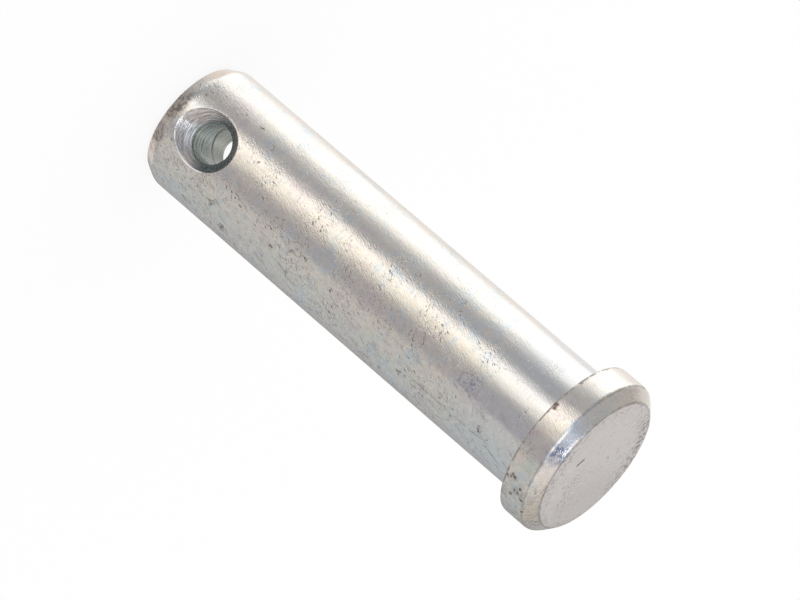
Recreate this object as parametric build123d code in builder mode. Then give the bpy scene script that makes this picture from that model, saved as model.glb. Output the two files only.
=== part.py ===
from build123d import *

import os
from math import radians, tan

# Clevis pin: a headed, cross-drilled pin made in one piece. It stands on its tip with the head up.
# The origin is the centre of the head's bearing face, where the head meets the shank.
# +Z points out of the head, and the cotter hole runs along Y.

# Shank, in millimetres
shank_diameter = 12.7
shank_length = 46.8
tip_chamfer_width = 0.7
tip_chamfer_length = 1.4
tip_shoulder_radius = 1.6
tip_edge_radius = 0.45

# Head
head_diameter = 16.0
head_height = 3.78
head_chamfer_width = 1.15
head_chamfer_height = 1.1
head_edge_radius = 0.15
neck_fillet_radius = 0.25

# Cotter hole, drilled across the shank from the front, which is the -Y side
hole_diameter = 3.8
hole_to_tip = 5.1
front_countersink_diameter = 6.5
front_countersink_angle = 77.0
back_countersink_diameter = 6.5
back_countersink_angle = 49.0
back_countersink_offset = 0.5
mouth_edge_radius = 0.12

# Related sizes
shank_radius = shank_diameter / 2
head_radius = head_diameter / 2
hole_height = hole_to_tip - shank_length
back_countersink_depth = back_countersink_diameter / 2 / tan(radians(back_countersink_angle / 2))
front_crown = Plane(origin=(0, -shank_radius, hole_height), z_dir=(0, -1, 0))
back_crown = Plane(origin=(0, shank_radius, hole_height - back_countersink_offset), z_dir=(0, 1, 0))

with BuildPart() as clevis_pin:
    # Half of the section through the axis, turned once round it
    with BuildSketch(Plane.XZ):
        with BuildLine():
            outline = FilletPolyline(
                (0, -shank_length),
                (shank_radius - tip_chamfer_width, -shank_length),
                (shank_radius, tip_chamfer_length - shank_length),
                (shank_radius, 0),
                (head_radius, 0),
                (head_radius, head_height - head_chamfer_height),
                (head_radius - head_chamfer_width, head_height),
                (0, head_height),
                radius=[
                    tip_edge_radius,
                    tip_shoulder_radius,
                    neck_fillet_radius,
                    head_edge_radius,
                    head_edge_radius,
                    head_edge_radius,
                ],
            )
            Line(outline @ 1, outline @ 0)
        make_face()
    revolve(axis=Axis.Z)

    # The hole is drilled and countersunk from the front
    with Locations(front_crown):
        CounterSinkHole(
            radius=hole_diameter / 2,
            counter_sink_radius=front_countersink_diameter / 2,
            depth=shank_diameter,
            counter_sink_angle=front_countersink_angle,
        )

    # At the back the countersink is narrower and deeper, and it sits off the
    # hole's axis towards the tip
    with Locations(back_crown):
        Cone(
            bottom_radius=0,
            top_radius=back_countersink_diameter / 2,
            height=back_countersink_depth,
            align=(Align.CENTER, Align.CENTER, Align.MAX),
            mode=Mode.SUBTRACT,
        )

    # The cutters leave the rim of both mouths slightly rounded
    curved_seams = clevis_pin.edges().filter_by(GeomType.BSPLINE)
    mouths = curved_seams.filter_by(lambda edge: abs(edge.center().Y) > 0.9 * shank_radius)
    fillet(mouths, mouth_edge_radius)

clevis_pin.part.label = "clevis_pin"
os.makedirs("parts", exist_ok=True)
export_step(clevis_pin.part, "parts/clevis_pin.step")
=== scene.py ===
# %% [markdown]
# A zinc-plated clevis pin
# ------------------------
# A clevis pin joins a fork to the eye between its arms. It is one piece of steel: a
# rod with a low head forged on one end, a hole drilled across the other for a cotter,
# and a thin bright coat of zinc. The packed part gives its sizes and its place. This
# lesson builds the same pin again with a finer skin, so that its worn edges, drill
# marks and stains can be seen, and lights it as a small bright part needs.

# %% Open the packed part
from math import atan, atan2, cos, exp, hypot, pi, radians, sin, sqrt, tan

import bmesh
import bpy
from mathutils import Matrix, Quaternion, Vector, noise


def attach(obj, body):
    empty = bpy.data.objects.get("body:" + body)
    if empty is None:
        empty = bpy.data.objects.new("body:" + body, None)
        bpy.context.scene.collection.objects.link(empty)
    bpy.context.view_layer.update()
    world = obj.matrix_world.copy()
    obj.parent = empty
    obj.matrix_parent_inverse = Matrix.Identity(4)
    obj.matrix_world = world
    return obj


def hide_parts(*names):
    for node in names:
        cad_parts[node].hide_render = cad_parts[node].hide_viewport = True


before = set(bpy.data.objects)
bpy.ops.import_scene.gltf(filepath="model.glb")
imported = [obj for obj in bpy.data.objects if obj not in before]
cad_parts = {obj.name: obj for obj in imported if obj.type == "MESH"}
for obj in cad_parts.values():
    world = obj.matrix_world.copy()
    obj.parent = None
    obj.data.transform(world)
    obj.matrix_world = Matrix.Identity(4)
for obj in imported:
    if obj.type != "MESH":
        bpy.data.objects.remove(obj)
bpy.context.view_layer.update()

# %% [markdown]
# Sizes
# -----
# Everything is worked out in millimetres, with the origin where the head meets the
# shank and the head upwards, as in the packed part. The mesh is brought down to
# metres once it is finished.

# %% Sizes of the pin
shank_radius = 6.35
shank_length = 46.8
foot = -shank_length
tip_taper_width, tip_taper_length = 0.7, 1.4
tip_shoulder_radius, tip_edge_radius = 1.6, 0.45
head_radius, head_height = 8.0, 3.78
head_bevel_width, head_bevel_height = 1.15, 1.1
head_edge_radius, neck_radius = 0.15, 0.25
hole_height = foot + 5.1
bore_radius = 1.9
print("pin", 2 * shank_radius, "mm thick and", shank_length + head_height, "mm long")

# %% [markdown]
# The turned body
# ---------------
# Shank and head are round about one axis, so half of the outline, turned once round
# the axis, gives the whole skin. The outline starts as a chain of straight edges. A
# vertex bevel rounds each corner, as the dies and the plating leave it. Planes then
# cut the chain into rows, closer together where the form bends. A cylinder primitive
# would give neither the rows nor the rounded corners.

# %% Half of the outline, with its corners rounded
corners = [
    (0, foot, 0),
    (shank_radius - tip_taper_width, foot, tip_edge_radius),
    (shank_radius, foot + tip_taper_length, tip_shoulder_radius),
    (shank_radius, 0, neck_radius),
    (head_radius, 0, head_edge_radius),
    (head_radius, head_height - head_bevel_height, head_edge_radius),
    (head_radius - head_bevel_width, head_height, head_edge_radius),
    (0, head_height, 0),
]
pin = bmesh.new()
chain = [pin.verts.new((x, 0, z)) for x, z, _ in corners]
for pair in zip(chain, chain[1:]):
    pin.edges.new(pair)
for vert, (_, _, radius) in zip(chain, corners):
    if radius:
        arms = [edge.other_vert(vert).co - vert.co for edge in vert.link_edges]
        turn = pi - arms[0].angle(arms[1])
        bmesh.ops.bevel(pin, geom=[vert], offset=radius * tan(turn / 2), offset_type="OFFSET",
                        segments=8, profile=0.5, material=-1, affect="VERTICES")
print("outline of", len(pin.verts), "points")

# %% Heights and radii of the rows
window_low, window_high = foot + 0.7, hole_height + 4.7
bevel_low = head_height - head_bevel_height


def spaced(start, stop, step):
    """Numbers from start to stop, about a step apart, with both ends."""
    count = max(1, round(abs(stop - start) / step))
    return [start + (stop - start) * i / count for i in range(count + 1)]


shank_rows = spaced(window_low, window_high, 0.3) + spaced(window_high, -1.2, 0.8)
neck_rows = [-0.8, -0.5, -0.35, -0.28, 0.2, 0.26, 0.34]
rim_rows = spaced(0.45, bevel_low - 0.4, 0.16)
rim_rows += [bevel_low - below for below in (0.3, 0.22, 0.16, 0.12)]
bevel_rows = spaced(bevel_low + 0.12, head_height - 0.12, 0.09)
row_heights = shank_rows + neck_rows + rim_rows + bevel_rows
row_radii = [0.5, 1, 1.5, 2, 2.5, 3, 3.5, 4, 4.5, 5, 5.4, 5.7, 6.0, 6.2, 6.4, 6.52, 6.62,
             6.7, 6.9, 7.2, 7.5, 7.7, 7.8]
print(len(row_heights), "heights and", len(row_radii), "radii")

# %% Cut the outline at the rows
snap = 0.004


def cut_outline(point, direction):
    """Adds a point to the outline where a plane crosses it, unless one lies within snap."""
    bmesh.ops.bisect_plane(pin, geom=pin.verts[:] + pin.edges[:], dist=snap,
                           plane_co=point, plane_no=direction)


for height in row_heights:
    cut_outline((0, 0, height), (0, 0, 1))
for radius in row_radii:
    cut_outline((radius, 0, 0), (1, 0, 0))
print("outline of", len(pin.verts), "points with its rows")

# %% The shank's radius at any height
taper_angle = atan(tip_taper_width / tip_taper_length)
shoulder_top = foot + tip_taper_length + tip_shoulder_radius * tan(taper_angle / 2)
shoulder_low = shoulder_top - tip_shoulder_radius * sin(taper_angle)


def shank_radius_at(height):
    """Radius of the turned shank at a height, over the taper and shoulder of its tip."""
    if height >= shoulder_top:
        return shank_radius
    if height >= shoulder_low:
        drop = shoulder_top - height
        return shank_radius - tip_shoulder_radius + sqrt(tip_shoulder_radius**2 - drop**2)
    return shank_radius - (foot + tip_taper_length - height) * tan(taper_angle)


# The straight cuts above left points beside the arc of the shoulder, so they move onto it.
slack = 0.01
for vert in pin.verts:
    if window_low - slack < vert.co.z < shoulder_top + slack:
        vert.co.x = shank_radius_at(vert.co.z)
print("radius at the tip's edge", round(shank_radius_at(window_low), 3))

# %% Turn the outline round the axis
columns = 288


def turn_once(shape, line, centre, axis, steps):
    """Turns a line of points and edges once round an axis, which leaves faces behind it."""
    bmesh.ops.spin(shape, geom=line, cent=centre, axis=axis, dvec=(0, 0, 0), angle=2 * pi,
                   steps=steps, use_merge=True, use_duplicate=False)


turn_once(pin, pin.verts[:] + pin.edges[:], (0, 0, 0), (0, 0, 1), columns)
bmesh.ops.remove_doubles(pin, verts=pin.verts[:], dist=0.0005)
print("turned body of", len(pin.faces), "faces")

# %% [markdown]
# The cotter hole
# ---------------
# The hole is the one feature that isn't round about the pin's axis. Its mouths are
# saddle-shaped, because a cone meets a cylinder there, and their rims are rounded. A
# boolean cut leaves slivers that spoil such a rim on bright metal. Here a window is
# opened in the body on both sides, a sleeve is turned round the hole's own axis, and
# each point of the sleeve is then moved onto its section: skirt, lip, countersink,
# bore, and the same again at the back. Rings of faces bridge the skirt to the window.

# %% Open a window on both sides
inside = []
for face in pin.faces:
    centre = face.calc_center_median()
    if window_low < centre.z < window_high and abs(centre.x) < abs(centre.y):
        inside.append(face)
bmesh.ops.delete(pin, geom=inside, context="FACES")
window_size = sum(1 for edge in pin.edges if edge.is_boundary) // 2
print("two windows of", window_size, "edges each")

# %% Sizes of the two countersinks
# A slope is how much a cone's radius grows with each millimetre of depth. An offset is
# how far the centre of the cone, or of its half of the bore, lies above the hole's axis.
mouth_radius = 3.25
lip_radius, bore_lip_radius = 0.12, 0.05
front = {"slope": tan(radians(38.5)), "offset": 0.0, "bore_offset": 0.0}
back = {"slope": tan(radians(24.5)), "offset": -0.5, "bore_offset": -0.03}
print("slopes", round(front["slope"], 3), "in front and", round(back["slope"], 3), "at the back")


# %% Where the walls lie
def off_centre(radius, offset, angle):
    """Distance from the hole's axis to a circle, in the direction of an angle. The circle's
    centre lies an offset above the axis."""
    return offset * sin(angle) + sqrt(max(0.0, radius**2 - (offset * cos(angle)) ** 2))


def surface_depth(reach, angle):
    """How far the shank's skin is from the middle of the hole, at a reach from its axis."""
    radius = shank_radius_at(hole_height + reach * sin(angle))
    return sqrt(radius**2 - (reach * cos(angle)) ** 2)


def cone_reach(depth, side, angle):
    """Distance of a countersink's wall from the hole's axis, at a depth counted from the
    middle."""
    radius = mouth_radius - (shank_radius - depth) * side["slope"]
    return off_centre(radius, side["offset"], angle)


print("skin beside the hole's axis at", surface_depth(0.0, 0.0), "mm from the middle")


# %% A rounded corner
def rounded(corner, outward, inward, radius, count):
    """Points of an arc that rounds a corner between two unit directions."""
    half = outward.angle(inward) / 2
    centre = corner + (outward + inward).normalized() * radius / sin(half)
    start = corner + outward * radius / tan(half) - centre
    stop = corner + inward * radius / tan(half) - centre
    return [centre + start.slerp(stop, i / count).normalized() * radius for i in range(count + 1)]


right_angle = rounded(Vector((0, 0)), Vector((1, 0)), Vector((0, 1)), 1.0, 2)
print("a right angle rounded by 1 mm passes", round(right_angle[1].length, 3), "mm from its corner")

# %% One side of the section
# The skirt is a strip of the shank's skin round the mouth. A probe is a short step that
# measures a slope. Each search halves its error or better, tries times over, and looks no
# nearer to the middle of the hole than deepest.
skirt, skirt_shares = 0.34, (1, 0.72, 0.46, 0.24, 0.08)
lip_steps, wall_steps, seat_steps = 6, 12, 4
probe, tries, deepest = 0.02, 40, 0.3


def side_section(side, angle):
    """Points (reach, depth) from the skirt's edge over the lip and down to the bore."""
    reach = mouth_radius
    for _ in range(tries):
        reach = cone_reach(surface_depth(reach, angle), side, angle)
    rim = Vector((reach, surface_depth(reach, angle)))
    outward = Vector((reach + probe, surface_depth(reach + probe, angle))) - rim
    inward = Vector((cone_reach(rim.y - probe, side, angle), rim.y - probe)) - rim
    lip = rounded(rim, outward.normalized(), inward.normalized(), lip_radius, lip_steps)
    low, high = deepest, rim.y
    bore = off_centre(bore_radius, side["bore_offset"], angle)
    for _ in range(tries):
        middle = (low + high) / 2
        low, high = (low, middle) if cone_reach(middle, side, angle) > bore else (middle, high)
    end = Vector((bore, low))
    up = (Vector((cone_reach(low + probe, side, angle), low + probe)) - end).normalized()
    seat = rounded(end, up, Vector((0, -1)), bore_lip_radius, seat_steps)
    reaches = [lip[0].x + skirt * share for share in skirt_shares]
    skirt_points = [Vector((far, surface_depth(far, angle))) for far in reaches]
    span = seat[0].y - lip[-1].y
    depths = [lip[-1].y + span * i / wall_steps for i in range(1, wall_steps)]
    wall = [Vector((cone_reach(depth, side, angle), depth)) for depth in depths]
    return skirt_points + lip + wall + seat


angles = [radians(degrees) for degrees in (0, 90, 270)]
lip_starts = [side_section(front, angle)[len(skirt_shares)].x for angle in angles]
print("front mouth reaches", [round(reach, 2) for reach in lip_starts], "mm")

# %% The whole section at one angle, from front to back
# The front and the back half of the bore end close to the middle, where a tiny step
# joins them.
bore_steps = 14
front_bore_end, back_bore_end = 0.05, -0.02


def hole_section(angle):
    """Points (x, y, z) of the hole's section in the plane that holds its axis."""
    near, far = side_section(front, angle), side_section(back, angle)
    front_run, back_run = front_bore_end - near[-1].y, -far[-1].y - back_bore_end
    bore = []
    for i in range(1, bore_steps + 1):
        bore.append(Vector((near[-1].x, near[-1].y + front_run * i / bore_steps)))
    for i in range(bore_steps):
        bore.append(Vector((far[-1].x, back_bore_end + back_run * i / bore_steps)))
    line = [(p.x, -p.y) for p in near + bore]
    line += [(p.x, p.y) for p in reversed(far)]
    sine, cosine = sin(angle), cos(angle)
    return [Vector((reach * cosine, along, hole_height + reach * sine)) for reach, along in line]


stations = len(hole_section(0.0))
print("section of", stations, "points")

# %% Turn the sleeve and move it onto its sections
# The strand is turned well behind the pin, where y still tells each point's station.
parked = 100
strand = [pin.verts.new((1, parked + i, hole_height)) for i in range(stations)]
strand_edges = [pin.edges.new(pair) for pair in zip(strand, strand[1:])]
turn_once(pin, strand + strand_edges, (0, 0, hole_height), (0, 1, 0), window_size)
sections = {}
for vert in [v for v in pin.verts if v.co.y > parked - 1]:
    angle = atan2(vert.co.z - hole_height, vert.co.x)
    key = round(angle / (2 * pi) * window_size)
    if key not in sections:
        sections[key] = hole_section(angle)
    vert.co = sections[key][round(vert.co.y - parked)]
print("sleeve of", window_size, "sections")

# %% Bridge the skirts to the windows
bridge_cuts = 6


def on_side(edge, sign):
    """Whether an edge lies in front of the pin's axis (sign -1) or behind it (sign 1)."""
    return (edge.verts[0].co.y + edge.verts[1].co.y) * sign > 0


for sign in (-1, 1):
    rims = [edge for edge in pin.edges if edge.is_boundary and on_side(edge, sign)]
    bridge = bmesh.ops.bridge_loops(pin, edges=rims)
    touched = {edge for face in bridge["faces"] for edge in face.edges}
    spokes = [edge for edge in touched if edge not in rims]
    added = bmesh.ops.subdivide_edges(pin, edges=spokes, cuts=bridge_cuts, use_grid_fill=True)
    for item in added["geom_inner"]:
        if isinstance(item, bmesh.types.BMVert):
            scale = shank_radius_at(item.co.z) / hypot(item.co.x, item.co.y)
            item.co.x, item.co.y = item.co.x * scale, item.co.y * scale
    still_open = sum(edge.is_boundary for edge in pin.edges)
    print("bridged", len(rims), "rim edges,", still_open, "left open")
bmesh.ops.recalc_face_normals(pin, faces=pin.faces[:])

# %% [markdown]
# Wear
# ----
# The real head was struck in a die and then tumbled with other pins, so its edges
# wander a little and its faces aren't quite true. A bump map can't move an edge, so
# the points themselves are moved, always inwards and by less than a tenth of a
# millimetre, with smooth noise.

# %% Noise and the worn edges
def ripple(place, size, seed):
    """Smooth noise from 0 to 1, with waves about a size long."""
    value = noise.noise(place / size + Vector((seed, 2 * seed, 3 * seed)))
    return 0.5 + 0.5 * max(-1.0, min(1.0, value))


# Each worn edge has a radius, a height and the most that is worn away.
worn_edges = [
    (head_radius, 0.0, 0.05),
    (head_radius, bevel_low, 0.055),
    (head_radius - head_bevel_width, head_height, 0.035),
]
edge_reach = 0.17
slow_wear, quick_wear = 0.022, 0.012
neck_edge, under_head = 6.45, -0.2
print(len(worn_edges), "worn edges, the wear of each fading over", edge_reach, "mm")

# %% Move the skin inwards a little
pin.normal_update()
worn = {}
for vert in pin.verts:
    place, radius = vert.co, hypot(vert.co.x, vert.co.y)
    depth = 0.0
    if radius > neck_edge and place.z > under_head:
        depth = slow_wear * ripple(place, 2.6, 3.7) + quick_wear * ripple(place, 1.1, 9.1)
        for edge_radius, edge_height, most in worn_edges:
            away = hypot(radius - edge_radius, place.z - edge_height)
            share = exp(-(away / edge_reach) ** 2)
            depth += most * share * (0.4 + 0.7 * ripple(place, 1.1, 5.5))
    worn[vert] = -depth * vert.normal
for vert, shift in worn.items():
    vert.co += shift
print("deepest wear", round(max(shift.length for shift in worn.values()), 3), "mm")


# %% Bring it to metres and make the object
def make_object(name, shape):
    """Writes a bmesh into a new mesh and puts an object of it into the scene."""
    mesh = bpy.data.meshes.new(name)
    shape.to_mesh(mesh)
    shape.free()
    thing = bpy.data.objects.new(name, mesh)
    bpy.context.scene.collection.objects.link(thing)
    return thing


bmesh.ops.scale(pin, vec=(0.001, 0.001, 0.001), verts=pin.verts[:])
plated_pin = make_object("plated_pin", pin)
for polygon in plated_pin.data.polygons:
    polygon.use_smooth = True
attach(plated_pin, "root")
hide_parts("clevis_pin")
print("pin of", sum(len(p.vertices) - 2 for p in plated_pin.data.polygons), "triangles")

# %% [markdown]
# Writing shader maths
# --------------------
# A material is a graph of nodes. Placing each Math node by hand hides the idea, so
# one small class wraps an output socket and turns plus, minus, times and the rest
# into Math nodes. Every other node comes from one method, which sets the node's
# settings first and its inputs after.

# %% A socket that does arithmetic
class Wire:
    """An output socket of a node tree. Arithmetic on it adds Math nodes."""

    def __init__(self, tree, socket):
        self.tree, self.socket = tree, socket

    def add_node(self, kind, settings=None, inputs=None, output=0):
        """Adds one node: its settings first, then the values or wires of its inputs."""
        node = self.tree.nodes.new(kind)
        for name, value in (settings or {}).items():
            if name == "stops":
                ramp = node.color_ramp
                while len(ramp.elements) < len(value):
                    ramp.elements.new(0.5)
                for element, (position, colour) in zip(ramp.elements, value):
                    element.position, element.color = position, (*colour, 1)
            else:
                setattr(node, name, value)
        for name, value in (inputs or {}).items():
            if isinstance(value, Wire):
                self.tree.links.new(value.socket, node.inputs[name])
            else:
                node.inputs[name].default_value = value
        return Wire(self.tree, node.outputs[output])

    def maths(self, operation, *others):
        """One Math node, with this wire first and the others after it."""
        inputs = dict(enumerate((self, *others)))
        return self.add_node("ShaderNodeMath", {"operation": operation}, inputs)

    def __add__(self, other):
        return self.maths("ADD", other)

    def __sub__(self, other):
        return self.maths("SUBTRACT", other)

    def __mul__(self, other):
        return self.maths("MULTIPLY", other)

    def __truediv__(self, other):
        return self.maths("DIVIDE", other)

    def __pow__(self, other):
        return self.maths("POWER", other)

    def __rsub__(self, other):
        return self * -1 + other

    def __neg__(self):
        return self * -1

    def __abs__(self):
        return self.maths("ABSOLUTE")

    __radd__ = __add__

    def between(self, low, high):
        """0 below low, 1 above high, and a smooth rise between. If low is the larger, it
        falls instead."""
        falling = low > high
        start, stop = (high, low) if falling else (low, high)
        rise = self.add_node("ShaderNodeMapRange", {"interpolation_type": "SMOOTHSTEP"},
                             {0: self, 1: start, 2: stop, 3: 0.0, 4: 1.0})
        return 1 - rise if falling else rise


print("one socket class with", sum(callable(item) for item in vars(Wire).values()), "methods")

# %% Start a material
def start_material(name):
    """A new material, with its tree, its shader and its output."""
    material = bpy.data.materials.new(name)
    material.use_nodes = True
    tree = material.node_tree
    return material, tree, tree.nodes["Principled BSDF"], tree.nodes["Material Output"]


zinc, tree, shader, output = start_material("bright_zinc")
print("material", zinc.name, "starts with", len(tree.nodes), "nodes")

# %% [markdown]
# The plating
# -----------
# Bright zinc is a thin coat of fine crystals under a clear sealing film. The film is
# never even, so the metal looks bluish in one place and cream or rosy in the next.
# Pins are plated loose in a barrel, where they knock together, and the coat is left
# with pits, brown flecks and fine hairs. Nearly every mark is noise of the right size,
# kept to the right place, and a few dozen have listed places. All of it is laid out in
# millimetres on the pin itself, so it stays put from every side.

# %% Places in millimetres
def axes(vector):
    """The three numbers of a vector, as wires."""
    split = vector.add_node("ShaderNodeSeparateXYZ", None, {0: vector})
    return [Wire(vector.tree, split.socket.node.outputs[i]) for i in range(3)]


def scaled(vector, factor):
    """A vector or a colour times a number."""
    return vector.add_node("ShaderNodeVectorMath", {"operation": "SCALE"},
                           {0: vector, "Scale": factor})


metres = Wire(tree, tree.nodes.new("ShaderNodeTexCoord").outputs["Object"])
here = scaled(metres, 1000.0)
x, y, z = axes(here)
from_axis = (x * x + y * y) ** 0.5
print("the place on the pin takes", len(tree.nodes), "nodes")

# %% Noise, blends and spots
def grain(place, size, seed, detail=2.0):
    """Noise from 0 to 1 in patches about a size across. Three sizes stretch it along x, y and z."""
    sizes = size if isinstance(size, tuple) else (size, size, size)
    moved = place.add_node("ShaderNodeMapping", None, {
        "Vector": place, "Location": (seed, seed, seed), "Scale": [1 / s for s in sizes]})
    return place.add_node("ShaderNodeTexNoise", None,
                          {"Vector": moved, "Scale": 1.0, "Detail": detail})


def blend(share, low, high):
    """The colour low where the share is 0 and high where it is 1."""
    low, high = ((*c, 1) if isinstance(c, tuple) else c for c in (low, high))
    return share.add_node("ShaderNodeMix", {"data_type": "RGBA"}, {0: share, 6: low, 7: high}, 2)


def spot(place, centre, size):
    """1 at a point and 0 beyond a size from it."""
    away = place.add_node("ShaderNodeVectorMath", {"operation": "DISTANCE"},
                          {0: place, 1: centre}, 1)
    return away.between(size, size * 0.4)


def either(*shares):
    """The largest of several shares."""
    most = shares[0]
    for share in shares[1:]:
        most = most.maths("MAXIMUM", share)
    return most


def turned_by(place, axis_angle, centre=(0, 0, 0)):
    """The place turned round an upright line through a centre."""
    return place.add_node("ShaderNodeVectorRotate", {"rotation_type": "Z_AXIS"},
                          {"Vector": place, "Center": centre, "Angle": axis_angle})


def frayed(place, size, amount):
    """The place shifted to and fro by a noise, so that shapes drawn from it get ragged edges."""
    jitter = place.add_node("ShaderNodeTexNoise", None,
                            {"Vector": place, "Scale": 1 / size, "Detail": 3.0}, 1)
    centred = place.add_node("ShaderNodeVectorMath", {"operation": "SUBTRACT"},
                             {0: jitter, 1: (0.5, 0.5, 0.5)})
    return place.add_node("ShaderNodeVectorMath", {"operation": "MULTIPLY_ADD"},
                          {0: centred, 1: (amount, amount, amount), 2: place})


print("patterns ready: grain, blend, spot, either, turned_by and frayed")

# %% [markdown]
# Regions of the pin
# ------------------
# The head, the tip and the hole were worked in different ways and have marks of their
# own. Radius and height tell them apart on the outside. The hole is found by the
# distance from its own axis, together with being deeper than the shank's skin. One
# long side of the shank lay against other pins and is worn more than the other.

# %% Regions
on_face = z.between(3.5, 3.6) * from_axis.between(6.95, 6.8)
on_head = z.between(-0.05, 0.02)
tip_top = foot + 1.9
on_tip = z.between(tip_top, foot + 1.2)
near_head = z.between(-10.0, -5.0) * z.between(0.05, -0.05)
above = z - hole_height
from_hole = (x * x + above * above) ** 0.5
in_hole = from_axis.between(6.3, 6.2) * from_hole.between(3.6, 3.5)
in_bore = from_hole.between(2.0, 1.95)
sideways = x * 0.995 - y * 0.1
worn_side = sideways.between(-1.0, 4.5) * y.between(3.5, -1.0)
clean_side = sideways.between(-2.8, -4.4)
print("tip below", round(tip_top, 2), "mm, hole round", round(hole_height, 2), "mm, head above 0")

# %% [markdown]
# Tints
# -----
# The sealing film shows as patches three or four millimetres wide and as smaller
# ones within them. One noise for each size picks a colour from a ramp. Near the head
# the film is cooler and cleaner, because the head shields that length in the barrel.
# Heat and drops of dried bath left two blue spots, one of them on the head's bevel, and
# a green and a rosy patch on the rim.

# %% Tints
wide = grain(here, 3.4, 11.0)
small = grain(here, 0.9, 4.0, 3.0)
film = [(0.32, (0.66, 0.73, 0.79)), (0.42, (0.745, 0.77, 0.765)), (0.5, (0.82, 0.79, 0.73)),
        (0.57, (0.785, 0.765, 0.75)), (0.66, (0.77, 0.7, 0.7))]
mixed_noise = wide * 0.5 + small * 0.42 + grain(here, 0.4, 6.0, 3.0) * 0.3 - 0.11
tint = here.add_node("ShaderNodeValToRGB", {"stops": film}, {0: mixed_noise})
tint = blend(near_head * 0.8, tint, (0.735, 0.765, 0.785))
tint = blend(on_face * 0.85, tint, (0.79, 0.775, 0.765))
smudge = spot(here, (1.0, -6.25, -7.7), 1.7) * grain(here, 0.22, 7.0, 2.0).between(0.47, 0.64)
bruise = spot(here, (0.5, -7.36, 3.25), 1.35)
bruise = bruise * grain(here, (0.35, 0.35, 0.7), 8.0, 3.0).between(0.34, 0.58)
tint = blend(smudge * 0.6, tint, (0.27, 0.32, 0.47))
tint = blend(bruise * 0.75, tint, (0.17, 0.22, 0.36))
green_patch = spot(here, (2.95, -7.44, 1.6), 1.2)
rosy_patch = spot(here, (2.8, -7.49, 0.8), 0.6)
tint = blend(green_patch * 0.5, tint, (0.66, 0.75, 0.68))
tint = blend(rosy_patch * 0.5, tint, (0.86, 0.7, 0.68))
print(len(film), "shades of film, tree of", len(tree.nodes), "nodes")

# %% [markdown]
# Flecks and stains
# -----------------
# Flecks lie in clusters, so a wide noise switches a fine one on and off. Some flecks
# are round pits and some are short dents that lean along the shank, because the pins
# slid past one another. Their lean grows along the shank, so the place is turned by an
# amount that follows its height before the noise is read. Stains dried as thin rings:
# they are the places where a slow noise crosses its middle value. The darkest marks are
# too few for a noise, so each has a listed place and size, and its edge is made ragged.
# The specks of rust on the rim, where the coat is thinnest, are listed in the same way.

# %% Flecks
lean = turned_by(here, z * -0.057)
cross = turned_by(here, z * -0.2)
clusters = grain(here, 3.0, 31.0) + worn_side * 0.1 - near_head * 0.14 - on_head * 0.08
clusters = clusters.between(0.45, 0.61)
pits = grain(here, 0.34, 5.0, 3.0).between(0.62, 0.72)
dents = grain(lean, (0.17, 0.17, 0.48), 47.0, 1.0).between(0.65, 0.72)
nicks = grain(cross, (0.17, 0.17, 0.4), 49.0, 1.0).between(0.66, 0.73)
deep = grain(here, 0.46, 71.0, 3.0).between(0.69, 0.74)
strength = grain(here, 1.3, 72.0).between(0.25, 0.6)
flecks = either(
    pits * (clusters * 0.5 + 0.03),
    dents * (clusters * 0.8 + 0.06),
    nicks * (clusters * 0.8 + 0.06),
    deep * (clusters * 0.6 + 0.28),
) * (strength * 0.45 + 0.6)
print("flecks, tree of", len(tree.nodes), "nodes")

# %% Stains and scuffs
stain_noise = grain(here, 2.2, 17.0)
stains = abs(stain_noise - 0.52).between(0.02, 0.006) * grain(here, 0.3, 23.0).between(0.46, 0.6)
stains = stains * grain(here, 5.0, 24.0).between(0.56, 0.62) * (1 - near_head)
scuffs = grain(lean, (0.4, 0.4, 1.4), 90.0, 3.0).between(0.58, 0.68)
scuffs = scuffs * worn_side * (1 - on_head) * 0.34
flecks = either(flecks, stains * 0.5, scuffs) * (1 - clean_side * 0.7)
print("stains and scuffs, tree of", len(tree.nodes), "nodes")

# %% Single marks
# Each mark has a centre and a size.
marks = [
    ((-3.9, -5.0, -38.73), 0.36), ((-2.98, -5.61, -44.63), 0.26), ((3.36, -5.39, -31.0), 0.3),
    ((-4.23, -4.73, -27.56), 0.2), ((-3.21, -5.48, -18.08), 0.3), ((-3.1, -5.54, -18.4), 0.22),
    ((4.48, -4.5, -23.15), 0.28), ((3.17, -5.5, -16.42), 0.32), ((5.17, -3.69, -18.3), 0.28),
    ((1.92, -6.05, -16.54), 0.18), ((2.77, -5.71, -14.3), 0.18), ((2.79, -5.7, -8.22), 0.28),
    ((4.02, -4.91, -38.06), 0.55), ((5.21, -3.63, -36.42), 0.7), ((3.69, -5.17, -34.82), 0.4),
    ((3.51, -5.29, -30.89), 0.5), ((2.53, -5.82, -28.73), 0.42), ((2.26, -5.94, -27.24), 0.36),
    ((4.55, -4.43, -28.65), 0.4), ((4.5, -4.48, -14.37), 0.4), ((3.76, -5.12, -4.71), 0.6),
    ((-1.9, -6.06, -5.93), 0.24), ((-2.52, -7.59, 0.14), 0.42),
]
ragged_place = frayed(here, 0.45, 1.5)
named = either(*[spot(ragged_place, centre, size * 0.85) for centre, size in marks])
ragged = named * (grain(lean, (0.16, 0.16, 0.3), 3.0).between(0.38, 0.55) * 0.7 + 0.3)
print(len(marks), "single marks")

# %% One long crease beside the head
crease = abs(sideways - 4.4 - wide * 0.5).between(0.1, 0.03)
crease = crease * z.between(-14.0, -12.0) * z.between(-3.5, -5.0)
crease = crease * (1 - y.between(-2.0, 0.0)) * small.between(0.38, 0.5)
flecks = either(flecks, ragged * 0.85, crease * 0.4) * (1 - in_hole)
print("the crease, tree of", len(tree.nodes), "nodes")

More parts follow.
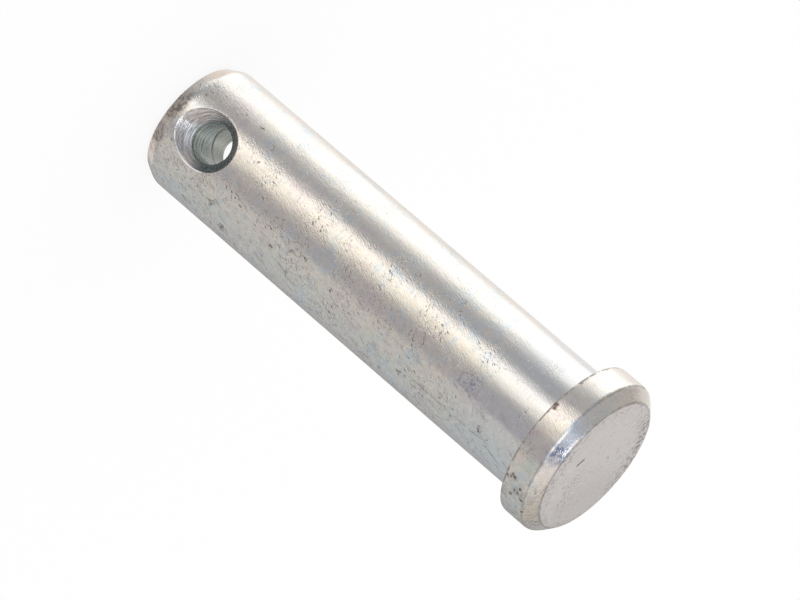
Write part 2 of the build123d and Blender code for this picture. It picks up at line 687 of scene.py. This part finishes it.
# %% Rust specks on the rim
specks = [
    ((4.86, -6.35, 0.34), 0.24), ((4.78, -6.41, 0.7), 0.22), ((4.47, -6.63, 0.79), 0.2),
    ((4.61, -6.54, 1.09), 0.34), ((5.58, -5.73, 1.5), 0.24), ((5.16, -6.11, 2.01), 0.24),
    ((6.05, -5.24, 1.2), 0.3), ((5.59, -5.72, 1.9), 0.26), ((5.93, -5.37, 2.42), 0.3),
    ((6.8, -4.19, 2.69), 0.26), ((-2.58, -7.57, 0.26), 0.4), ((-2.3, -7.66, 0.42), 0.3),
]
near_place = frayed(here, 0.3, 0.35)
rust = either(*[spot(near_place, centre, size * 0.9) for centre, size in specks])
rust_halo = either(spot(here, (4.7, -6.46, 0.7), 0.8), spot(here, (5.66, -5.65, 1.85), 1.0))
rust_halo = rust_halo * grain(here, 0.3, 56.0, 3.0).between(0.4, 0.62)
print(len(specks), "rust specks")

# %% [markdown]
# Dark lines along the edges
# --------------------------
# Along the head's edges a dark line is partly dirt and thin plating, which gather where
# two faces meet, and partly painted shade. In the corner under the head, where the
# shank meets it, the line is painted shade. In a turned part each edge is a point of
# the outline, so the distance from that point, in radius and height, gives a line all
# the way round. A noise makes its width uneven and breaks it here and there. One
# stretch of the head's edge has been rubbed bright.

# %% Dark lines along the edges
def edge_line(corner_radius, corner_height, width, seed):
    """An uneven line along one edge of the turned outline."""
    across, along = from_axis - corner_radius, z - corner_height
    away = (across * across + along * along) ** 0.5
    uneven = grain(here, 0.5, seed, 3.0) * 2.2 - 0.55
    return (uneven * width - away).between(-0.11, 0.09)


rubbed = spot(here, (-0.9, -7.95, 2.65), 2.6)
# The line at the shank's radius, in the corner under the head, is painted shade. The three lines on
# the head are partly dirt and partly painted shade.
edges = either(
    edge_line(8.0, 0.0, 0.36, 12.0) * 0.65,
    edge_line(7.96, 2.68, 0.2, 33.0) * 0.5 * (1 - rubbed),
    edge_line(6.86, 3.76, 0.17, 54.0) * 0.55,
    edge_line(6.35, 0.0, 0.4, 75.0) * 0.45,
)
print("four edge lines, tree of", len(tree.nodes), "nodes")

# %% Stains and painted shade on the tip, the rim and the face
mottle = grain(here, 0.42, 19.0, 3.0).between(0.42, 0.62)
tip_patches = either(spot(here, (2.3, -5.65, -46.2), 1.5), spot(here, (-0.83, -6.04, -46.2), 2.3),
                     grain(here, 2.6, 52.0).between(0.5, 0.6) * y.between(-1.0, 1.0))
# The tip is darkened all round its taper, more in two patches and less on the clean side. This is
# partly a mottled stain and partly painted shade.
tip_stain_and_shade = on_tip * (mottle * 0.4 + 0.44) * (tip_patches * 0.8 + 0.2) * (1 - clean_side * 0.8)
rim_stain = sideways.between(4.2, 6.8) * on_head * (1 - on_face) * (
    grain(here, 0.5, 20.0, 3.0).between(0.5, 0.68) * 0.4 + 0.08)
face_stain_and_shade = either(
    spot(here, (-2.4, 4.6, 3.78), 6.2) * from_axis.between(4.4, 6.4) * mottle * 0.75,
    # Painted shade: this wide, smooth spot darkens one side of the face.
    spot(here, (5.5, 4.5, 3.78), 8.5) * 0.16,
    grain(here, 0.3, 41.0, 3.0).between(0.6, 0.72) * 0.2,
    grain(here, 0.36, 42.0, 3.0).between(0.5, 0.66) * from_axis.between(4.9, 6.6) * 0.4,
) * on_face
scratch_centre = (0.27, -3.34, 3.78)
scratch_x, scratch_y, _ = axes(turned_by(here, radians(27), scratch_centre))
scratch = abs(scratch_x - scratch_centre[0]).between(0.62, 0.4)
scratch = scratch * abs(scratch_y - scratch_centre[1]).between(0.2, 0.08) * on_face
# The grime also carries painted shade: the dark edge lines, part of the tip's darkening and the
# dark side of the face.
grime_and_shade = either(flecks, edges, tip_stain_and_shade, rim_stain, face_stain_and_shade, scratch * 0.8)
print("all the grime, tree of", len(tree.nodes), "nodes")

# %% [markdown]
# Inside the hole
# ---------------
# The drill and the countersink leave rings, so the noise is squeezed along the hole's
# axis and stretched across it. In the bore the coat is thin and dull grey-green, since
# plating reaches it last, and one side of the bore is darkened with painted shade.
# Halfway along it, where the two drillings meet, a thin line of painted shadow is drawn.
# The countersink is cleaner, with a painted highlight streak, painted glints in the
# rings by the bore, and a crescent of its wall darkened with painted shade. The lip
# round its mouth carries painted highlights in two stretches and is dirty along another.

# %% Inside the bore
wander = grain(here, 1.1, 14.0) * 0.3
bore_rings = grain(here, (2.4, 0.42, 2.4), 85.0, 4.0)
along_bore = y - x * 0.65 + wander
# Painted shadow: a thin dark line across the bore, tilted a little, where the two drillings meet.
witness_shadow = abs(along_bore + 0.6).between(0.24, 0.13)
bore_rings_and_shadow = either(witness_shadow * 0.85, bore_rings.between(0.5, 0.72) * 0.3)
bore_tint = blend(along_bore.between(-0.65, -0.5), (0.53, 0.6, 0.59), (0.56, 0.6, 0.55))
# Painted shade: the side of the bore towards positive x is darkened.
bore_tint = blend(x.between(0.1, 1.2) * 0.62, bore_tint, (0.19, 0.25, 0.25))
bore_tint = blend(bore_rings_and_shadow, bore_tint, (0.06, 0.07, 0.065))
print("bore, tree of", len(tree.nodes), "nodes")

# %% Painted highlights and shade in the countersinks
sink_rings = grain(here, (1.8, 0.16, 1.8), 83.0)
fine_rings = grain(here, (0.7, 0.07, 0.7), 84.0, 1.0)
# Painted highlight: a pale streak across the countersink, and glints in the rings at the bore's
# lip.
highlight_streak = abs(x - 0.25).between(0.7, 0.2) * grain(here, 0.26, 15.0).between(0.38, 0.56)
highlight_streak = highlight_streak * (from_hole.between(3.1, 2.4) * 0.5 + 0.5)
bore_lip_glints = (from_hole + wander * 0.4).between(2.62, 2.45)
bore_lip_glints = bore_lip_glints * x.between(-0.9, -0.1) * x.between(2.2, 1.2) * fine_rings.between(0.38, 0.48)
# Painted shade: a crescent of the countersink's wall, towards the head and to both sides, is
# darkened.
sink_shade = either(
    above.between(-0.3, 1.4) * (x.between(-1.5, 0.5) * 0.25 + 0.5),
    (above * 0.6 - x).between(1.1, 2.4) * 0.42,
    x.between(0.9, 2.0) * (above.between(-0.5, 1.0) * 0.6 + 0.22),
)
print("streaks, tree of", len(tree.nodes), "nodes")

# %% Countersinks
sink_tint = blend(sink_rings.between(0.47, 0.6) * 0.5, (0.7, 0.665, 0.65), (0.36, 0.33, 0.31))
sink_tint = blend(fine_rings.between(0.5, 0.62) * 0.3, sink_tint, (0.25, 0.23, 0.22))
# The painted highlight streak and glints are made near white.
sink_tint = blend(either(highlight_streak * 0.8, bore_lip_glints), sink_tint, (0.98, 0.99, 1.0))
# The painted shade darkens that crescent.
sink_tint = blend(sink_shade, sink_tint, (0.19, 0.23, 0.235))
hole_tint = blend(in_bore, sink_tint, bore_tint)
print("countersinks, tree of", len(tree.nodes), "nodes")

# %% The lip round each mouth
on_lip = from_axis.between(6.348, 6.33) * from_axis.between(6.18, 6.25)
on_lip = on_lip * from_hole.between(3.8, 3.6)
lip_dark = on_lip * x.between(-0.4, -1.1) * above.between(0.8, -0.4)
lip_dark = lip_dark * grain(here, 0.3, 55.0).between(0.34, 0.5)
# Painted highlight: two stretches of the lip are made white.
lip_highlight = on_lip * either(
    x.between(1.8, 2.2) * above.between(1.7, 1.0),
    x.between(-0.6, 0.2) * above.between(-2.2, -2.8),
)
print("lips, tree of", len(tree.nodes), "nodes")

# %% [markdown]
# Fine relief
# -----------
# Flecks and tints alone would look printed on. The same noises also tilt the skin a
# little through a bump, in true millimetres, so that the reflections break up at them.
# Slow waves bend the edges of the reflections. Hairs make those edges ragged. Each
# noise is centred on zero, so that no false step appears where one region ends.

# %% Fine relief of the outside
def relief(noise_wire, amount):
    """Height in millimetres of a noise about its middle value."""
    return (noise_wire - 0.5) * amount


waves = relief(grain(here, (2.6, 2.6, 7.0), 61.0, 1.0), 0.075)
waves = waves + relief(grain(here, (0.8, 0.8, 1.6), 62.0, 1.0), 0.01)
hairs = relief(grain(lean, (0.12, 0.12, 0.6), 28.0), 0.013)
hairs = hairs + relief(grain(cross, (0.12, 0.12, 0.4), 27.0), 0.009)
hairs = hairs * (1 - near_head * 0.65) * (1 - worn_side * 0.6)
crystals = relief(grain(here, 0.17, 30.0), 0.005 + clusters * 0.012)
scratches = grain(here, (0.8, 0.8, 0.07), 29.0, 1.0).between(0.62, 0.7)
scratches = scratches * grain(here, 2.4, 32.0).between(0.5, 0.6)
skin = waves + hairs + crystals - scratches * 0.006 - flecks * 0.008
print("relief of the outside, tree of", len(tree.nodes), "nodes")

# %% Fine relief of the face and the hole
turning_pitch = 0.42
face_rings = ((from_axis + wander) * (2 * pi / turning_pitch)).maths("SINE") * 0.0006
face_skin = face_rings + relief(grain(here, 0.9, 63.0, 3.0), 0.01)
face_skin = face_skin + relief(grain(here, 0.15, 64.0), 0.003)
sink_skin = relief(sink_rings, 0.03) + relief(fine_rings, 0.012)
hole_skin = blend(in_bore, sink_skin, relief(bore_rings, 0.06)) + crystals
skin_height = blend(in_hole, blend(on_face, skin, face_skin), hole_skin)
bump = here.add_node("ShaderNodeBump", None,
                     {"Height": skin_height, "Strength": 1.0, "Distance": 0.001})
print("relief, tree of", len(tree.nodes), "nodes")

# %% Colour of the plating
grit = 0.2 + clusters * 0.3 + worn_side * 0.12 - near_head * 0.08
coarse_grit = 0.12 + worn_side * 0.25
speckle = 1 + (grain(here, 0.16, 2.0, 2.0) - 0.5) * grit
speckle = speckle + (grain(here, 0.5, 81.0, 3.0) - 0.5) * coarse_grit
colour = blend(in_hole, tint, hole_tint)
# The painted highlight on the lip is pure white.
colour = blend(lip_highlight, colour, (1.0, 1.0, 1.0))
colour = blend(lip_dark * 0.6, colour, (0.2, 0.17, 0.15))
colour = scaled(colour, speckle)
# Dirt and painted shade darken the colour here.
colour = blend(grime_and_shade, colour, (0.11, 0.08, 0.065))
colour = blend(either(rust * 0.9, rust_halo * 0.3), colour, (0.12, 0.065, 0.042))
print("colour, tree of", len(tree.nodes), "nodes")

# %% Put the plating together
rough = 0.09 + small * 0.07 + clusters * 0.05 + grime_and_shade * 0.25 + in_hole * 0.05
rough = rough + on_face * 0.08 - near_head * 0.02
metal = 1 - either(grime_and_shade * 0.35, rust * 0.6) - in_hole * 0.24
finish = {"Base Color": colour, "Roughness": rough, "Metallic": metal, "Normal": bump}
for name, wire in finish.items():
    tree.links.new(wire.socket, shader.inputs[name])
plated_pin.data.materials.append(zinc)
print("zinc of", len(tree.nodes), "nodes")

# %% [markdown]
# Floor and backdrop
# ------------------
# The pin stands on a plain white floor that runs on as the backdrop. The camera and
# mirrored rays see mostly its own flat white, and the rest still takes the shadow. The
# cards of the next step lie between the pin and the floor for mirrored rays, so the
# floor is left out of those.

# %% Floor
ground = bmesh.new()
bmesh.ops.create_circle(ground, cap_ends=True, segments=64, radius=6.0)
bmesh.ops.translate(ground, verts=ground.verts[:], vec=(0, 0, foot * 0.001))
floor = make_object("floor", ground)
floor.visible_glossy = False
print("floor at", floor.data.vertices[0].co.z, "m")

# %% White paper
paper, tree, shader, output = start_material("white_paper")
shader.inputs["Base Color"].default_value = (0.97, 0.97, 0.97, 1)
shader.inputs["Roughness"].default_value = 0.9
path = tree.nodes.new("ShaderNodeLightPath")
ray_kinds = ("Is Camera Ray", "Is Glossy Ray", "Is Transmission Ray")
seen = either(*[Wire(tree, path.outputs[kind]) for kind in ray_kinds])
lit = Wire(tree, shader.outputs[0])
glow = seen.add_node("ShaderNodeEmission", None, {"Color": (1, 1, 1, 1), "Strength": 1.0})
mixed = seen.add_node("ShaderNodeMixShader", None, {0: seen * 0.86, 1: lit, 2: glow})
tree.links.new(mixed.socket, output.inputs["Surface"])
floor.data.materials.append(paper)
print("paper of", len(tree.nodes), "nodes")

# %% [markdown]
# What the metal mirrors
# ----------------------
# Bright zinc has almost no colour of its own: it shows what stands round it. In a
# white room alone it would look like paper. So a drum of studio cards stands round
# the pin, white on one side and in soft greys on the other, as for any small polished
# part. It is a half outline turned round the axis again. Only mirrored rays see it,
# so it neither hides the view nor shades the floor.

# %% Drum of cards
drum_radius = 0.8
drum_shape = bmesh.new()
arc = []
for degrees in range(-90, 91, 5):
    angle = radians(degrees)
    arc.append(drum_shape.verts.new((drum_radius * cos(angle), 0, drum_radius * sin(angle))))
arc_edges = [drum_shape.edges.new(pair) for pair in zip(arc, arc[1:])]
turn_once(drum_shape, arc + arc_edges, (0, 0, 0), (0, 0, 1), 96)
bmesh.ops.remove_doubles(drum_shape, verts=drum_shape.verts[:], dist=0.0001)
drum = make_object("studio_cards", drum_shape)
drum.location.z = -0.02
drum.visible_camera = drum.visible_diffuse = False
drum.visible_shadow = drum.visible_transmission = False
print("drum of", len(drum.data.polygons), "faces")

# %% Shades of the cards by bearing
brightest = 1.5


def shade(red, green, blue):
    """A card's brightness as a share of the brightest card."""
    return (red / brightest, green / brightest, blue / brightest)


def shades(table):
    """Ramp stops from rows of a bearing in degrees and red, green and blue. Bearing 0 is in
    front of the pin."""
    return [(degrees / 360 + 0.5, shade(*colours)) for degrees, *colours in sorted(table)]


print("the brightest card is", shade(brightest, brightest, brightest), "at strength", brightest)

# %% Low ring of cards
low_cards = shades([
    (-180, 0.95, 0.9, 0.86), (-166, 0.92, 0.87, 0.84), (-148, 1.0, 0.95, 0.92),
    (-137, 1.3, 1.27, 1.24), (-127, 1.42, 1.42, 1.4), (-97, 1.42, 1.42, 1.4),
    (-88, 1.2, 1.17, 1.12), (-78, 0.78, 0.76, 0.74), (-68, 0.54, 0.53, 0.53),
    (-58, 0.46, 0.45, 0.47), (-45, 0.46, 0.455, 0.46), (-38, 0.72, 0.68, 0.67),
    (-31, 1.35, 1.28, 1.22), (-20, 1.42, 1.33, 1.22), (-11, 1.15, 1.07, 0.96),
    (-3, 0.8, 0.75, 0.68), (6, 0.53, 0.5, 0.48), (14, 0.46, 0.435, 0.445),
    (39, 0.445, 0.425, 0.445), (41, 0.63, 0.6, 0.575), (60, 0.62, 0.6, 0.58),
    (84, 0.58, 0.585, 0.575), (106, 0.55, 0.57, 0.575), (126, 0.53, 0.54, 0.55),
    (145, 0.46, 0.455, 0.46), (172, 0.42, 0.41, 0.4), (175, 0.95, 0.9, 0.86),
])
print(len(low_cards), "low shades")

# %% High ring of cards
high_cards = shades([
    (-180, 0.69, 0.665, 0.66), (-160, 0.68, 0.64, 0.61), (-150, 0.5, 0.46, 0.43),
    (-120, 0.5, 0.47, 0.45), (-88, 0.46, 0.44, 0.44), (-60, 0.45, 0.47, 0.52),
    (-40, 0.46, 0.5, 0.6), (-20, 0.7, 0.76, 0.92), (0, 0.6, 0.66, 0.8),
    (12, 0.42, 0.47, 0.58), (40, 0.35, 0.4, 0.55), (50, 0.8, 0.77, 0.76),
    (77, 0.87, 0.81, 0.77), (100, 0.72, 0.68, 0.64), (125, 0.58, 0.53, 0.48),
    (150, 0.5, 0.5, 0.47), (165, 0.62, 0.62, 0.6), (172, 0.69, 0.665, 0.66),
])
print(len(high_cards), "high shades")

# %% Find bearing and height on the drum
cards, tree, shader, output = start_material("card_shades")
tree.nodes.remove(shader)
on_drum = Wire(tree, tree.nodes.new("ShaderNodeTexCoord").outputs["Object"])
across, along, up = axes(on_drum)
bearing = across.maths("ARCTAN2", -along) * (180 / pi)
rise = (up / drum_radius).maths("ARCSINE") * (180 / pi)
print("bearing and rise in degrees, tree of", len(tree.nodes), "nodes")

# %% [markdown]
# The cards in order
# ------------------
# A low ring of shades gives the shank its long bands, and a high ring colours the
# bevel. Between them, at about the pin's own height, the two are mixed half and half.
# Under the pin lies a darker sheet, which the tapered tip mirrors. Above it hang a tall
# white slit for the hole's rim, a cool card for the bevel's front and a pale one
# straight overhead. One small lamp, far brighter than the cards, makes the sharp glints
# in the countersink.

# %% Rings and sheets
turn = bearing / 360 + 0.5
low_colour = on_drum.add_node("ShaderNodeValToRGB", {"stops": low_cards}, {0: turn})
high_colour = on_drum.add_node("ShaderNodeValToRGB", {"stops": high_cards}, {0: turn})
ring = blend(abs(bearing).between(95, 110), low_colour, shade(0.9, 0.8, 0.74))
sheet = blend(rise.between(-56, -62), ring, shade(0.585, 0.535, 0.505))
highness = rise.between(-10, 1.5) * 0.5 + rise.between(12, 22) * 0.5
print("rings and sheets, tree of", len(tree.nodes), "nodes")

# %% Lay the cards one over another
slit = bearing.between(-27, -21) * bearing.between(34, 26)
slit = slit * rise.between(20, 25) * rise.between(60, 54)
cool_card = bearing.between(6, 14) * bearing.between(56, 44) * rise.between(48, 60)
lamp = spot(on_drum, (0.0763, -0.1322, 0.7853), 0.065)
card_colour = blend(highness, low_colour, high_colour)
card_colour = blend(rise.between(-36, -42), card_colour, sheet)
card_colour = blend(cool_card, card_colour, shade(0.5, 0.53, 0.61))
card_colour = blend(slit, card_colour, shade(1.25, 1.25, 1.25))
card_colour = blend(rise.between(74, 78), card_colour, shade(1.08, 1.05, 1.08))
card_colour = blend(lamp, card_colour, shade(5.5, 5.5, 5.6))
print("cards laid, tree of", len(tree.nodes), "nodes")

# %% Make the cards glow
glow = on_drum.add_node("ShaderNodeEmission", None,
                        {"Color": card_colour, "Strength": brightest})
tree.links.new(glow.socket, output.inputs["Surface"])
drum.data.materials.append(cards)
print("cards of", len(tree.nodes), "nodes")

# %% [markdown]
# Room light
# ----------
# Everything that isn't mirrored, such as the floor and the dull spots, is lit by a
# plain white world at strength 1. At that level a colour renders about as written,
# and the shadow under the pin stays as soft as in a light tent.

# %% World
world = bpy.data.worlds.new("white_room")
bpy.context.scene.world = world
world.use_nodes = True
background = world.node_tree.nodes["Background"]
background.inputs["Color"].default_value = (1, 1, 1, 1)
background.inputs["Strength"].default_value = 1.0
bpy.context.scene.view_settings.view_transform = "Standard"
print("world at strength", background.inputs["Strength"].default_value)

# %% [markdown]
# Camera
# ------
# A long lens some way off keeps the sides of the shank almost parallel. The camera
# looks down on the head from the front, and it is rolled so that the standing pin
# lies across the picture. Its place is the point it looks at, plus a distance back
# along the line of sight.

# %% The line of sight
view_bearing, view_rise, view_roll = radians(-5.8), radians(22.43), radians(130.71)
view_distance = 0.6077
target = Vector((0.000127, -0.000013, -0.02024))
level = cos(view_rise)
back_ray = Vector((sin(view_bearing) * level, -cos(view_bearing) * level, sin(view_rise)))
print("looking from", [round(number, 3) for number in back_ray])

# %% Camera
camera_data = bpy.data.cameras.new("camera")
camera_data.sensor_width = 36
camera_data.lens = 311.0
camera_data.clip_start, camera_data.clip_end = 0.01, 20
camera = bpy.data.objects.new("camera", camera_data)
bpy.context.scene.collection.objects.link(camera)
bpy.context.scene.camera = camera
camera.location = target + back_ray * view_distance
camera.rotation_mode = "QUATERNION"
upright = (-back_ray).to_track_quat("-Z", "Y")
camera.rotation_quaternion = upright @ Quaternion((0, 0, 1), view_roll)
print("camera", view_distance, "m away with a", camera_data.lens, "mm lens")
